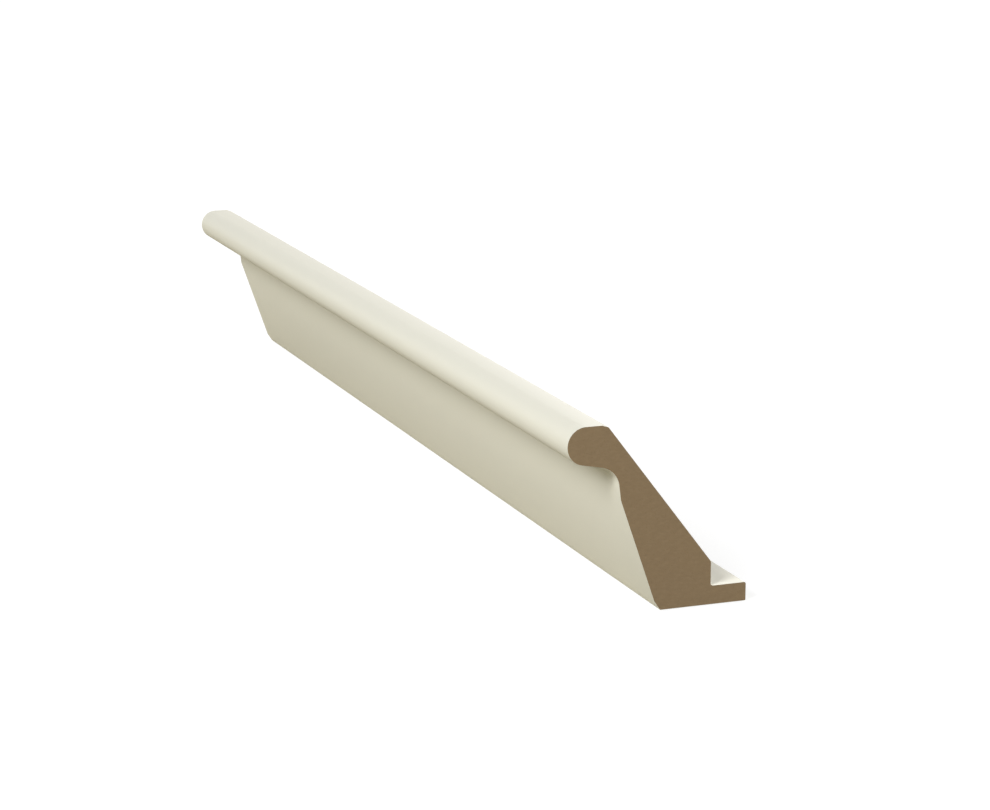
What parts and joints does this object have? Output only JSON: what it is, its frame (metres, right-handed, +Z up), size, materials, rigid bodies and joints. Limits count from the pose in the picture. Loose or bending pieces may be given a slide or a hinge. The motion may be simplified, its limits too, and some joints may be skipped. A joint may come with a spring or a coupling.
{
  "type": "crown moulding length",
  "caption": "Straight length of cabinet crown moulding: bullnose, cove and sloping face in cream paint, square-cut fibreboard ends, and a rear lip to screw it down through.",
  "frame": {"origin": "middle of the seat, which is the flat underside that rests on the cabinet, halfway along the length", "axes": "+X along the length, -Y towards the room on the bullnose side, +Z up"},
  "size_m": [0.43, 0.06, 0.06],
  "materials": {
    "cream_paint": "satin cream paint on medium-density fibreboard, with bare brown fibreboard on the two square-cut ends"
  },
  "bodies": {
    "root": {"crown_moulding_length": "cream_paint"}
  },
  "joints": []
}
